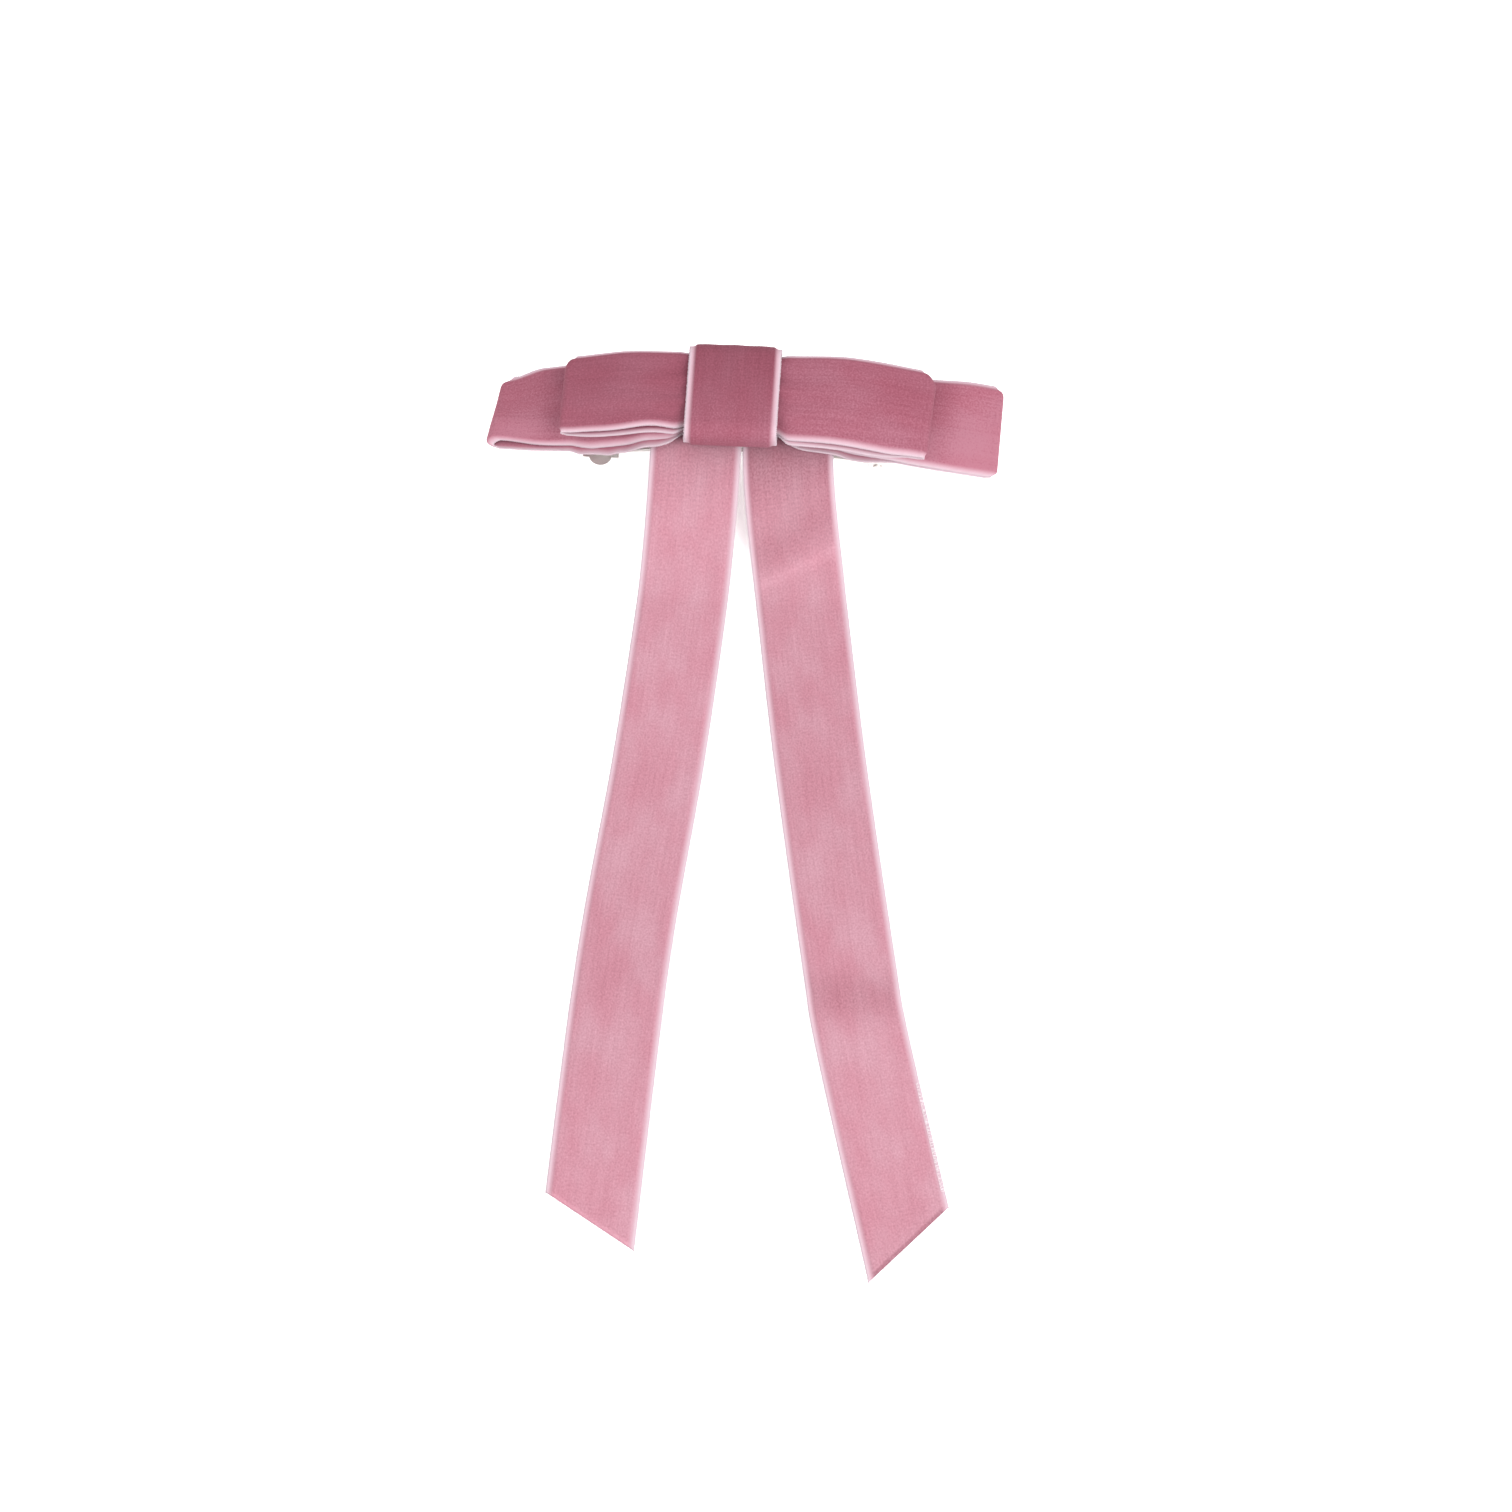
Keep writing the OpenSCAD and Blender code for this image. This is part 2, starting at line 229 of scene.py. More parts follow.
def rolled(across, back, front):
    """Places across a ribbon whose edges roll over by some degrees, and the drop at each."""
    back_reach, front_reach = 2.4 * MM, 1.2 * sizes().selvedge
    slope = (math.radians(back) * smooth((back_reach - (across - across[0])) / back_reach)
             - math.radians(front) * smooth((front_reach - (across[-1] - across)) / front_reach))
    steps, bend = np.diff(across), (slope[1:] + slope[:-1]) / 2
    place = np.concatenate([[0], np.cumsum(np.cos(bend) * steps)])
    rise = np.concatenate([[0], np.cumsum(np.sin(bend) * steps)])
    return -(place - place[-1] / 2)[None, :], (rise - rise[len(rise) // 2])[None, :]


def pile_height(across, width):
    """Height of the pile's surface over a ply's middle, low along the selvedges."""
    inset = width / 2 - np.abs(across)
    pile = smooth((inset - 0.55 * sizes().selvedge) / (0.75 * sizes().selvedge))
    low = -PLY / 2 + sizes().selvedge_t
    return low + (PLY / 2 - low) * pile


def facing(mid, closed):
    """Unit normals of a grid of points."""
    if closed:
        rows = np.roll(mid, -1, axis=0) - np.roll(mid, 1, axis=0)
    else:
        rows = np.gradient(mid, axis=0)
    normal = np.cross(rows, np.gradient(mid, axis=1))
    return normal / np.maximum(np.linalg.norm(normal, axis=-1, keepdims=True), 1e-12)


def shell(name, mid, above, below, across, along, closed, shade=None):
    """A closed shell about a grid of points. Its finishes are for its face, its back and its cuts."""
    rows, cols = mid.shape[:2]
    normal = facing(mid, closed)
    top = mid + normal * np.broadcast_to(above, (rows, cols))[..., None]
    bottom = mid + normal * np.broadcast_to(below, (rows, cols))[..., None]
    index = np.arange(rows * cols).reshape(rows, cols)
    under = index + rows * cols
    last = rows if closed else rows - 1
    i, j = np.meshgrid(np.arange(last), np.arange(cols - 1), indexing="ij")
    k = (i + 1) % rows
    u = np.broadcast_to(across, (rows + 1, cols))
    v = along if closed else np.vstack([along, along[-1:]])

    def quads(corners, places, finish):
        faces = np.stack([c.ravel() for c in corners], axis=-1)
        uv = np.stack([np.stack([u[a, b].ravel(), v[a, b].ravel()], axis=-1) for a, b in places], axis=1)
        return faces, uv, np.full(len(faces), finish)

    face_places = [(i, j), (i + 1, j), (i + 1, j + 1), (i, j + 1)]
    parts = [
        quads([index[i, j], index[k, j], index[k, j + 1], index[i, j + 1]], face_places, 0),
        quads([under[i, j + 1], under[k, j + 1], under[k, j], under[i, j]], face_places[::-1], 1),
    ]
    r = np.arange(last)
    nxt = (r + 1) % rows
    for side, flip in ((0, False), (cols - 1, True)):
        col = np.full(last, side)
        corners = [index[r, col], under[r, col], under[nxt, col], index[nxt, col]]
        places = [(r, col), (r, col), (r + 1, col), (r + 1, col)]
        parts.append(quads(corners[::-1] if flip else corners, places[::-1] if flip else places, 0))
    if not closed:
        c = np.arange(cols - 1)
        for end, flip in ((0, False), (rows - 1, True)):
            row = np.full(cols - 1, end)
            corners = [index[row, c], index[row, c + 1], under[row, c + 1], under[row, c]]
            places = [(row, c), (row, c + 1), (row, c + 1), (row, c)]
            parts.append(quads(corners[::-1] if flip else corners, places[::-1] if flip else places, 2))
    faces = np.concatenate([p[0] for p in parts])
    uvs = np.concatenate([p[1] for p in parts])
    finishes = np.concatenate([p[2] for p in parts])
    mesh = bpy.data.meshes.new(name)
    points = np.concatenate([top.reshape(-1, 3), bottom.reshape(-1, 3)])
    mesh.from_pydata(points.tolist(), [], faces.tolist())
    layer = mesh.uv_layers.new(name="cloth")
    layer.data.foreach_set("uv", uvs.astype(np.float32).ravel())
    mesh.polygons.foreach_set("material_index", finishes.astype(np.int32))
    mesh.polygons.foreach_set("use_smooth", np.ones(len(faces), dtype=bool))
    # Each point's tone is mostly painted shade and painted light, with a plain tone at the cut ends
    tone = np.zeros((rows, cols)) if shade is None else np.broadcast_to(shade, (rows, cols))
    attribute = mesh.attributes.new("painted_shade_and_tone", "FLOAT", "POINT")
    attribute.data.foreach_set("value", np.concatenate([tone.ravel(), tone.ravel()]).astype(np.float32))
    mesh.update()
    return mesh


def add_piece(name, mesh, slot, *finishes):
    """A piece with the finishes of these names, which rides on the bow's own body."""
    mesh.materials.clear()
    for finish in finishes:
        mesh.materials.append(bpy.data.materials[finish])
    piece = bpy.data.objects.new(name, mesh)
    bpy.context.scene.collection.objects.link(piece)
    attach(piece, BODY)
    return piece


def keep_edges(mid, closed):
    """Remembers a ribbon's two edges, where its weft turns show."""
    line = mid + facing(mid, closed) * (-PLY / 2 + sizes().selvedge_t / 2)
    for col in (0, -1):
        points = line[:, col]
        EDGE_LINES.append(np.vstack([points, points[:1]]) if closed else points)


def along_rows(mid):
    """Distance along a closed ribbon of each point in a grid, with one more row where it closes."""
    grid = np.concatenate([mid, mid[:1]])
    steps = np.linalg.norm(np.diff(grid, axis=0), axis=-1).mean(axis=1)
    run = np.concatenate([[0], np.cumsum(steps)])
    return np.repeat(run[:, None], mid.shape[1], axis=1)


def closed_ribbon(name, mid, across, width, shade):
    """The mesh of a ribbon that runs round and meets itself."""
    return shell(name, mid, pile_height(across, width), -PLY / 2, across, along_rows(mid), True, shade)


def flattened_loop(x0, x1, low, high, bulge, y):
    """Rows round a loop: its lower ply, its right fold, back along its upper ply, its left fold."""
    share = np.linspace(0, 1, PLY_ROWS)[:, None]
    turn = np.linspace(-90, 90, FOLD_ROWS + 2)[1:-1, None]
    sine, cosine = np.sin(np.radians(turn)), np.cos(np.radians(turn))
    xs = x0 + (x1 - x0) * share
    lower = on_bow(xs, y, low(xs, y))
    upper = on_bow(xs[::-1], y, high(xs[::-1], y))

    def fold(x, sign):
        middle, half = (low(x, y) + high(x, y)) / 2, (high(x, y) - low(x, y)) / 2
        return on_bow(x + sign * bulge * cosine, y, middle + sign * half * sine)

    return np.concatenate([lower, fold(x1, 1), upper, fold(x0, -1)])


def lower_share():
    """1 along a flattened loop's lower ply, 0 along its upper ply, and between them round its folds."""
    turn = np.linspace(1, 0, FOLD_ROWS + 2)[1:-1]
    return np.concatenate([np.ones(PLY_ROWS), turn, np.zeros(PLY_ROWS), turn[::-1]])[:, None]


# ---- finishes ------------------------------------------------------------------------------


class Finish:
    """A material's nodes, with short ways to add and join them."""

    def __init__(self, name):
        self.material = bpy.data.materials.new(name)
        self.material.use_nodes = True
        self.nodes = self.material.node_tree.nodes
        self.shader = next(n for n in self.nodes if n.type == "BSDF_PRINCIPLED")

    def join(self, source, target):
        self.material.node_tree.links.new(source, target)

    def put(self, socket, value):
        """Gives a socket a number or colour, or joins another node's output to it."""
        if isinstance(value, bpy.types.NodeSocket):
            self.join(value, socket)
        else:
            socket.default_value = value

    def math(self, operation, *values):
        node = self.nodes.new("ShaderNodeMath")
        node.operation = operation
        for socket, value in zip(node.inputs, values):
            self.put(socket, value)
        return node.outputs[0]

    def noise(self, vector, scale, detail=2.0):
        """A noise whose grain is set along each direction, in grains per metre."""
        stretch = self.nodes.new("ShaderNodeVectorMath")
        stretch.operation = "MULTIPLY"
        self.put(stretch.inputs[0], vector)
        stretch.inputs[1].default_value = scale
        node = self.nodes.new("ShaderNodeTexNoise")
        node.inputs["Scale"].default_value = 1.0
        node.inputs["Detail"].default_value = detail
        self.join(stretch.outputs[0], node.inputs["Vector"])
        return node.outputs[0]

    def blend(self, factor, first, second):
        node = self.nodes.new("ShaderNodeMix")
        node.data_type = "RGBA"
        self.put(node.inputs["Factor"], factor)
        self.put(node.inputs[6], first)
        self.put(node.inputs[7], second)
        return node.outputs[2]

    def span(self, value, low, high, out_low=0.0, out_high=1.0):
        node = self.nodes.new("ShaderNodeMapRange")
        node.interpolation_type = "SMOOTHSTEP"
        for socket, number in zip(node.inputs, (value, low, high, out_low, out_high)):
            self.put(socket, number)
        return node.outputs[0]

    def bump(self, height, distance, strength=1.0):
        node = self.nodes.new("ShaderNodeBump")
        node.inputs["Strength"].default_value = strength
        node.inputs["Distance"].default_value = distance
        self.join(height, node.inputs["Height"])
        self.join(node.outputs[0], self.shader.inputs["Normal"])

    def set(self, **values):
        for name, value in values.items():
            self.put(self.shader.inputs[name.replace("_", " ")], value)

    def place(self):
        """Places in the object's own space."""
        return self.nodes.new("ShaderNodeTexCoord").outputs["Object"]

    def cloth(self):
        """The ribbon's own measure across and along, in metres, and the first of these alone."""
        node = self.nodes.new("ShaderNodeUVMap")
        node.uv_map = "cloth"
        split = self.nodes.new("ShaderNodeSeparateXYZ")
        self.join(node.outputs[0], split.inputs[0])
        return node.outputs[0], split.outputs[0]


def tint(colour, factor):
    return tuple(min(1, c * factor) for c in colour) + (1,)


def mixed(colour, factors):
    """A colour with each of its parts raised or lowered by its own factor."""
    return tuple(min(1, c * f) for c, f in zip(colour, factors)) + (1,)


def velvet(name, colour, width):
    """Silk velvet: lengthwise streaks, crushed clouds and fine grain in its pile, a pale selvedge, and
    the painted shade and light that each piece carries.
    """
    finish = Finish(name)
    uv, across = finish.cloth()
    streak = finish.noise(uv, (1500, 55, 1), 4)
    rib = finish.noise(uv, (120, 1500, 1), 3)
    cloud = finish.noise(uv, (95, 55, 1), 4)
    grain = finish.noise(uv, (2300, 1900, 1), 2)
    # The piece's attribute read here holds its painted shade and painted light
    painted_shade_and_tone = finish.nodes.new("ShaderNodeAttribute")
    painted_shade_and_tone.attribute_name = "painted_shade_and_tone"
    tone = painted_shade_and_tone.outputs["Fac"]
    for texture, strength in ((streak, 0.62), (cloud, 0.5), (rib, 0.2), (grain, 1.7)):
        tone = finish.math("ADD", tone, finish.math("MULTIPLY_ADD", texture, strength, -strength / 2))
    level = finish.math("MULTIPLY_ADD", tone, 0.5, 0.5)
    deep, pale = mixed(colour, (1.0, 0.92, 0.94)), mixed(colour, (1.0, 1.1, 1.08))
    turned = finish.span(cloud, 0.27, 0.73)
    darkest, brightest = (0.64, 0.56, 0.58), (1.36, 1.44, 1.42)
    low = finish.blend(turned, mixed(deep, darkest), mixed(pale, darkest))
    high = finish.blend(turned, mixed(deep, brightest), mixed(pale, brightest))
    pile = finish.blend(level, low, high)
    # Where the tone runs high, the pile is painted paler towards the selvedge colour, as a painted sheen
    pile = finish.blend(finish.span(level, 0.5, 1.3, 0, 0.22), pile, tint(colours().selvedge, 1))
    inset = finish.math("SUBTRACT", width / 2, finish.math("ABSOLUTE", across))
    edge = sizes().selvedge
    outer = finish.span(inset, 0.05 * edge, 0.75 * edge)
    weave = finish.math("MULTIPLY_ADD", rib, 0.4, -0.2)
    inward = finish.math("ADD", outer, weave)
    rim = finish.blend(inward, tint(colours().rim, 1), tint(colours().selvedge, 1))
    on_pile = finish.span(inset, 0.5 * edge, 1.25 * edge)
    finish.set(Base_Color=finish.blend(on_pile, rim, pile), Roughness=0.9, Sheen_Weight=0.2,
               Sheen_Roughness=0.4, Sheen_Tint=tint(colours().selvedge, 1.0), Specular_IOR_Level=0.12)
    height = finish.math("MULTIPLY", streak, 0.35)
    height = finish.math("ADD", height, finish.math("MULTIPLY", grain, 0.5))
    height = finish.math("ADD", height, finish.math("MULTIPLY", rib, 0.12))
    finish.bump(height, 0.14 * MM, 0.6)
    return finish.material


def woven(name, colour):
    """The ribbon's wrong side: a plain satin ground with fine twill."""
    finish = Finish(name)
    uv, across = finish.cloth()
    warp = finish.noise(uv, (4200, 260, 1), 2)
    weft = finish.noise(uv, (420, 2600, 1), 2)
    level = finish.math("MULTIPLY_ADD", finish.math("ADD", warp, weft), 0.9, -0.4)
    inset = finish.math("SUBTRACT", HALF_W, finish.math("ABSOLUTE", across))
    ground = finish.blend(level, tint(colour, 0.8), tint(colour, 1.12))
    rim = finish.blend(level, tint(colour, 0.95), tint(colour, 1.2))
    finish.set(Base_Color=finish.blend(finish.span(inset, 1.6 * MM, 3.0 * MM), rim, ground),
               Roughness=0.55, Sheen_Weight=0.15, Specular_IOR_Level=0.35)
    finish.bump(finish.math("ADD", warp, weft), 0.08 * MM, 0.6)
    return finish.material


def spun(name, colour):
    """Twisted thread and loose fibre."""
    finish = Finish(name)
    twist = finish.noise(finish.place(), (5200, 5200, 5200), 2)
    finish.set(Base_Color=finish.blend(twist, tint(colour, 0.78), tint(colour, 1.18)),
               Roughness=0.8, Sheen_Weight=0.3, Specular_IOR_Level=0.2)
    finish.bump(twist, 0.05 * MM, 0.6)
    return finish.material


def hardened_glue():
    finish = Finish("hardened_glue")
    ripple = finish.noise(finish.place(), (420, 420, 420), 3)
    finish.set(Base_Color=finish.blend(ripple, tint(colours().glue, 0.86), tint(colours().glue, 1.04)),
               Roughness=finish.span(ripple, 0.3, 0.7, 0.22, 0.42), Subsurface_Weight=0.2,
               Subsurface_Radius=(0.002, 0.0016, 0.001))
    finish.bump(ripple, 0.12 * MM, 0.7)
    return finish.material


def plated(name, grain):
    """Nickel plate over rolled steel: faint rolling lines, tumbling marks and a slightly cloudy gloss."""
    finish = Finish(name)
    own = finish.place()
    rolled = finish.noise(own, grain, 3)
    cloudy = finish.noise(own, (260, 260, 260), 3)
    marks = finish.noise(own, (2400, 2400, 2400), 2)
    finish.set(Base_Color=finish.blend(cloudy, tint(colours().nickel, 0.9), tint(colours().nickel, 1.08)),
               Metallic=0.9,
               Roughness=finish.math("MULTIPLY_ADD", finish.math("ADD", rolled, cloudy), 0.16, 0.26))
    finish.bump(finish.math("ADD", rolled, finish.math("MULTIPLY", marks, 0.4)), 0.02 * MM, 0.5)
    return finish.material


# ---- what repeats --------------------------------------------------------------------------


class Growth:
    """A geometry tree with named inputs, which ends in real geometry with one finish."""

    def __init__(self, name, **inputs):
        self.tree = bpy.data.node_groups.new(name, "GeometryNodeTree")
        face = self.tree.interface
        face.new_socket("Geometry", in_out="INPUT", socket_type="NodeSocketGeometry")
        self.values = inputs
        for label, value in inputs.items():
            kind = "NodeSocketInt" if isinstance(value, int) else "NodeSocketFloat"
            face.new_socket(label, in_out="INPUT", socket_type=kind).default_value = value
        face.new_socket("Geometry", in_out="OUTPUT", socket_type="NodeSocketGeometry")
        self.entry = self.tree.nodes.new("NodeGroupInput")
        self.exit = self.tree.nodes.new("NodeGroupOutput")

    def node(self, kind, settings=None, **sockets):
        node = self.tree.nodes.new(kind)
        for key, value in (settings or {}).items():
            setattr(node, key, value)
        for key, value in sockets.items():
            socket = node.inputs[key.replace("_", " ")]
            if isinstance(value, bpy.types.NodeSocket):
                self.tree.links.new(value, socket)
            else:
                socket.default_value = value
        return node

    def input(self, label):
        return self.entry.outputs[label]

    def vector(self, operation, first, second):
        """Arithmetic on another node's output and a plain vector."""
        node = self.node("ShaderNodeVectorMath", {"operation": operation})
        self.tree.links.new(first, node.inputs[0])
        node.inputs[1].default_value = second
        return node.outputs[0]

    def spaced(self, label):
        """Points along the lines, as far apart as one of the inputs says."""
        curve = self.node("GeometryNodeMeshToCurve", Mesh=self.input("Geometry"))
        return self.node("GeometryNodeResampleCurve", {"mode": "LENGTH"}, Curve=curve.outputs[0],
                         Length=self.input(label)).outputs[0]

    def grow(self, name, lines, finish):
        """The plain mesh that the tree makes from polylines."""
        mesh = bpy.data.meshes.new(name + "_lines")
        points, edges = [], []
        for line in lines:
            start = len(points)
            points.extend(np.asarray(line).tolist())
            edges.extend((start + i, start + i + 1) for i in range(len(line) - 1))
        mesh.from_pydata(points, edges, [])
        source = bpy.data.objects.new(name + "_lines", mesh)
        bpy.context.scene.collection.objects.link(source)
        modifier = source.modifiers.new(name, "NODES")
        modifier.node_group = self.tree
        for socket in self.tree.interface.items_tree:
            if socket.in_out == "INPUT" and socket.name in self.values:
                modifier[socket.identifier] = self.values[socket.name]
        self.coat.inputs["Material"].default_value = bpy.data.materials[finish]
        graph = bpy.context.evaluated_depsgraph_get()
        grown = bpy.data.meshes.new_from_object(source.evaluated_get(graph), depsgraph=graph)
        source.modifiers.remove(modifier)
        bpy.data.objects.remove(source)
        grown.name = name
        if not len(grown.polygons):
            raise RuntimeError(f"{name} grew no faces")
        grown.polygons.foreach_set("use_smooth", np.ones(len(grown.polygons), dtype=bool))
        return grown

    def end(self, geometry):
        real = self.node("GeometryNodeRealizeInstances", Geometry=geometry)
        self.coat = self.node("GeometryNodeSetMaterial", Geometry=real.outputs[0])
        self.tree.links.new(self.coat.outputs[0], self.exit.inputs[0])


def weft_turns_tree():
    """Small turns of weft, one beside the next, along each edge line."""
    growth = Growth("weft_turns", Pitch=sizes().weft_pitch, Radius=0.2 * MM, Seed=7)
    spaced = growth.spaced("Pitch")
    bead = growth.node("GeometryNodeMeshUVSphere", Segments=6, Rings=4, Radius=growth.input("Radius"))
    tangent = growth.node("GeometryNodeInputTangent")
    turned = growth.node("FunctionNodeAlignRotationToVector", {"axis": "X"}, Vector=tangent.outputs[0])
    size = growth.node("FunctionNodeRandomValue", {"data_type": "FLOAT"}, Seed=growth.input("Seed"))
    size.inputs[2].default_value, size.inputs[3].default_value = 0.8, 1.2
    placed = growth.node("GeometryNodeInstanceOnPoints", Points=spaced, Instance=bead.outputs[0],
                         Rotation=turned.outputs[0], Scale=size.outputs[1])
    growth.end(placed.outputs[0])
    return growth


def fibres_tree(spacing, length, thickness, seed):
    """Loose fibres that stand out sideways from each line, to its right."""
    growth = Growth("loose_fibres", Spacing=spacing, Length=length, Thickness=thickness, Seed=seed)
    spaced = growth.spaced("Spacing")
    tip = growth.node("ShaderNodeCombineXYZ", X=0.0, Y=0.0, Z=growth.input("Length"))
    halfway = growth.vector("MULTIPLY", tip.outputs[0], (0, 0, 0.5))
    bend = growth.vector("ADD", halfway, (0.12 * MM, 0, 0))
    hair = growth.node("GeometryNodeCurveQuadraticBezier", Resolution=3, Start=(0, 0, 0),
                       Middle=bend, End=tip.outputs[0])
    section = growth.node("GeometryNodeCurvePrimitiveCircle", Resolution=3,
                          Radius=growth.input("Thickness"))
    strand = growth.node("GeometryNodeCurveToMesh", Curve=hair.outputs[0],
                         Profile_Curve=section.outputs[0], Fill_Caps=True)
    tangent = growth.node("GeometryNodeInputTangent")
    side = growth.vector("CROSS_PRODUCT", tangent.outputs[0], (0, 0, 1))
    aimed = growth.node("FunctionNodeAlignRotationToVector", {"axis": "Z"}, Vector=side)
    stray = growth.node("FunctionNodeRandomValue", {"data_type": "FLOAT_VECTOR"},
                        Seed=growth.input("Seed"))
    stray.inputs[0].default_value, stray.inputs[1].default_value = (-0.55, -0.55, -3), (0.55, 0.55, 3)
    rotated = growth.node("FunctionNodeRotateRotation", {"rotation_space": "LOCAL"},
                          Rotation=aimed.outputs[0], Rotate_By=stray.outputs[0])
    size = growth.node("FunctionNodeRandomValue", {"data_type": "FLOAT"}, Seed=growth.input("Seed"))
    size.inputs[2].default_value, size.inputs[3].default_value = 0.25, 1.0
    placed = growth.node("GeometryNodeInstanceOnPoints", Points=spaced,
                         Instance=strand.outputs[0], Rotation=rotated.outputs[0], Scale=size.outputs[1])
    growth.end(placed.outputs[0])
    return growth


def thread_tree(width, height, corner):
    """Turns of thread side by side round the gathered loops."""
    step = sizes().thread_d * 1.04
    growth = Growth("thread_turns", Width=width, Height=height, Corner=corner,
                    Thickness=sizes().thread_d / 2, Turns=sizes().thread_turns, Step=step)
    step_x = growth.node("ShaderNodeCombineXYZ", X=growth.input("Step"), Y=0.0, Z=0.0)
    line = growth.node("GeometryNodeMeshLine", Count=growth.input("Turns"), Offset=step_x.outputs[0])
    box = growth.node("GeometryNodeCurvePrimitiveQuadrilateral", Width=growth.input("Width"),
                      Height=growth.input("Height"))
    soft = growth.node("GeometryNodeFilletCurve", {"mode": "POLY"}, Curve=box.outputs[0],
                       Radius=growth.input("Corner"), Count=8)
    turned = growth.node("GeometryNodeTransform", Geometry=soft.outputs[0])
    turned.inputs["Rotation"].default_value = (math.pi / 2, 0, math.pi / 2)
    section = growth.node("GeometryNodeCurvePrimitiveCircle", Resolution=8,
                          Radius=growth.input("Thickness"))
    strand = growth.node("GeometryNodeCurveToMesh", Curve=turned.outputs[0],
                         Profile_Curve=section.outputs[0])
    placed = growth.node("GeometryNodeInstanceOnPoints", Points=line.outputs[0],
                         Instance=strand.outputs[0])
    growth.end(placed.outputs[0])
    return growth


# ---- operators -----------------------------------------------------------------------------


class BARRETTE_OT_stage(bpy.types.Operator):
    """Set the camera, the soft lights and the plain pale floor"""

    bl_idname = "barrette.stage"
    bl_label = "Stage"

    def execute(self, context):
        azimuth, elevation, distance = math.radians(2.5), math.radians(68), 1.15
        back = Vector((math.sin(azimuth) * math.cos(elevation), -math.cos(azimuth) * math.cos(elevation),
                       math.sin(elevation)))
        target = BOW + Vector((9.5 * MM, -87.7 * MM, 0))
        data = bpy.data.cameras.new("camera")
        data.sensor_width = 36
        data.lens = 111.4
        data.clip_start = 0.05
        camera = bpy.data.objects.new("camera", data)
        camera.location = target + back * distance
        camera.rotation_mode = "QUATERNION"
        camera.rotation_quaternion = (-back).to_track_quat("-Z", "Y")
        context.scene.collection.objects.link(camera)
        context.scene.camera = camera
        context.scene.view_settings.view_transform = "Standard"

        world = bpy.data.worlds.new("studio")
        world.use_nodes = True
        world.node_tree.nodes["Background"].inputs["Color"].default_value = (1, 1, 1, 1)
        world.node_tree.nodes["Background"].inputs["Strength"].default_value = 1.1
        context.scene.world = world
        for name, place, size, power in (
            ("key", (0.75, -0.75, 1.0), 0.9, 24.0),
            ("fill", (-0.9, -0.3, 0.8), 1.0, 7.0),
            ("top", (0.0, 0.5, 1.2), 0.8, 4.0),
        ):
            light = bpy.data.lights.new(name, "AREA")
            light.size, light.energy = size, power
            lamp = bpy.data.objects.new(name, light)
            lamp.location = Vector(place)
            lamp.rotation_mode = "QUATERNION"
            lamp.rotation_quaternion = (target - lamp.location).to_track_quat("-Z", "Y")
            context.scene.collection.objects.link(lamp)

        finish = Finish("pale_floor")
        finish.set(Base_Color=tint(colours().floor, 1), Roughness=0.9, Specular_IOR_Level=0.1,
                   Emission_Color=(1, 1, 1, 1), Emission_Strength=0.45)
        half = 3.0
        mesh = bpy.data.meshes.new("floor")
        mesh.from_pydata([(-half, -half, SURFACE), (half, -half, SURFACE), (half, half, SURFACE),
                          (-half, half, SURFACE)], [], [(0, 1, 2, 3)])
        mesh.materials.append(finish.material)
        floor = bpy.data.objects.new("floor", mesh)
        context.scene.collection.objects.link(floor)
        return {"FINISHED"}


